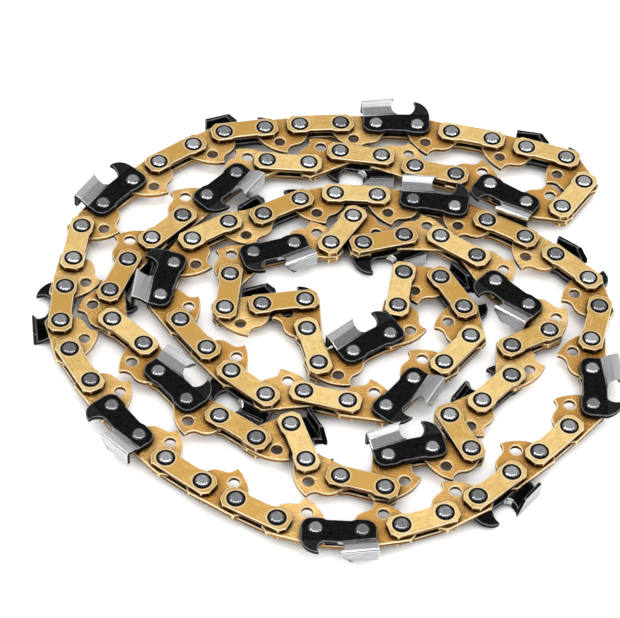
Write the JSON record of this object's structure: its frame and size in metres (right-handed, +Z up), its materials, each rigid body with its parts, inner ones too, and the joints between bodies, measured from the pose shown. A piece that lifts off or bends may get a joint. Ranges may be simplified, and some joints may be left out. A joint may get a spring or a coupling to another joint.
{
  "type": "chainsaw chain loop",
  "caption": "Closed saw chain lying coiled on its side: gold-coloured drive links and tie straps, black cutters with bright teeth and hooked depth gauges, joined by riveted pins.",
  "frame": {"origin": "under the middle of the coil's bounding box, on the surface that the chain lies on", "axes": "+X to the right and +Y away from the viewer in the picture's view, +Z up, across the chain"},
  "size_m": [0.1384, 0.1374, 0.007],
  "materials": {
    "tie_strap_steel": "gold-coloured plating",
    "drive_link_steel": "gold-coloured plating",
    "cutter_steel": "gloss black oxide, with bright chrome on the tooth",
    "rivet_steel": "burnished"
  },
  "bodies": {
    "root": {"drive_links_01": "drive_link_steel", "drive_links_02": "drive_link_steel", "drive_links_03": "drive_link_steel", "drive_links_04": "drive_link_steel", "drive_links_05": "drive_link_steel", "drive_links_06": "drive_link_steel", "drive_links_07": "drive_link_steel", "drive_links_08": "drive_link_steel", "drive_links_09": "drive_link_steel", "drive_links_10": "drive_link_steel", "drive_links_11": "drive_link_steel", "drive_links_12": "drive_link_steel", "drive_links_13": "drive_link_steel", "drive_links_14": "drive_link_steel", "drive_links_15": "drive_link_steel", "left_cutter_01": "cutter_steel", "left_cutter_02": "cutter_steel", "left_cutter_03": "cutter_steel", "left_cutter_04": "cutter_steel", "left_cutter_05": "cutter_steel", "left_cutter_06": "cutter_steel", "left_cutter_07": "cutter_steel", "left_cutter_08": "cutter_steel", "left_cutter_09": "cutter_steel", "left_cutter_10": "cutter_steel", "left_cutter_11": "cutter_steel", "left_cutter_12": "cutter_steel", "left_cutter_13": "cutter_steel", "left_cutter_14": "cutter_steel", "right_cutter_01": "cutter_steel", "right_cutter_02": "cutter_steel", "right_cutter_03": "cutter_steel", "right_cutter_04": "cutter_steel", "right_cutter_05": "cutter_steel", "right_cutter_06": "cutter_steel", "right_cutter_07": "cutter_steel", "right_cutter_08": "cutter_steel", "right_cutter_09": "cutter_steel", "right_cutter_10": "cutter_steel", "right_cutter_11": "cutter_steel", "right_cutter_12": "cutter_steel", "right_cutter_13": "cutter_steel", "right_cutter_14": "cutter_steel", "right_cutter_15": "cutter_steel", "rivets": "rivet_steel", "tie_straps_01": "tie_strap_steel", "tie_straps_02": "tie_strap_steel", "tie_straps_03": "tie_strap_steel", "tie_straps_04": "tie_strap_steel", "tie_straps_05": "tie_strap_steel", "tie_straps_06": "tie_strap_steel", "tie_straps_07": "tie_strap_steel", "tie_straps_08": "tie_strap_steel", "tie_straps_09": "tie_strap_steel", "tie_straps_10": "tie_strap_steel", "tie_straps_11": "tie_strap_steel", "tie_straps_12": "tie_strap_steel", "tie_straps_13": "tie_strap_steel", "tie_straps_14": "tie_strap_steel", "tie_straps_15": "tie_strap_steel"}
  },
  "joints": []
}
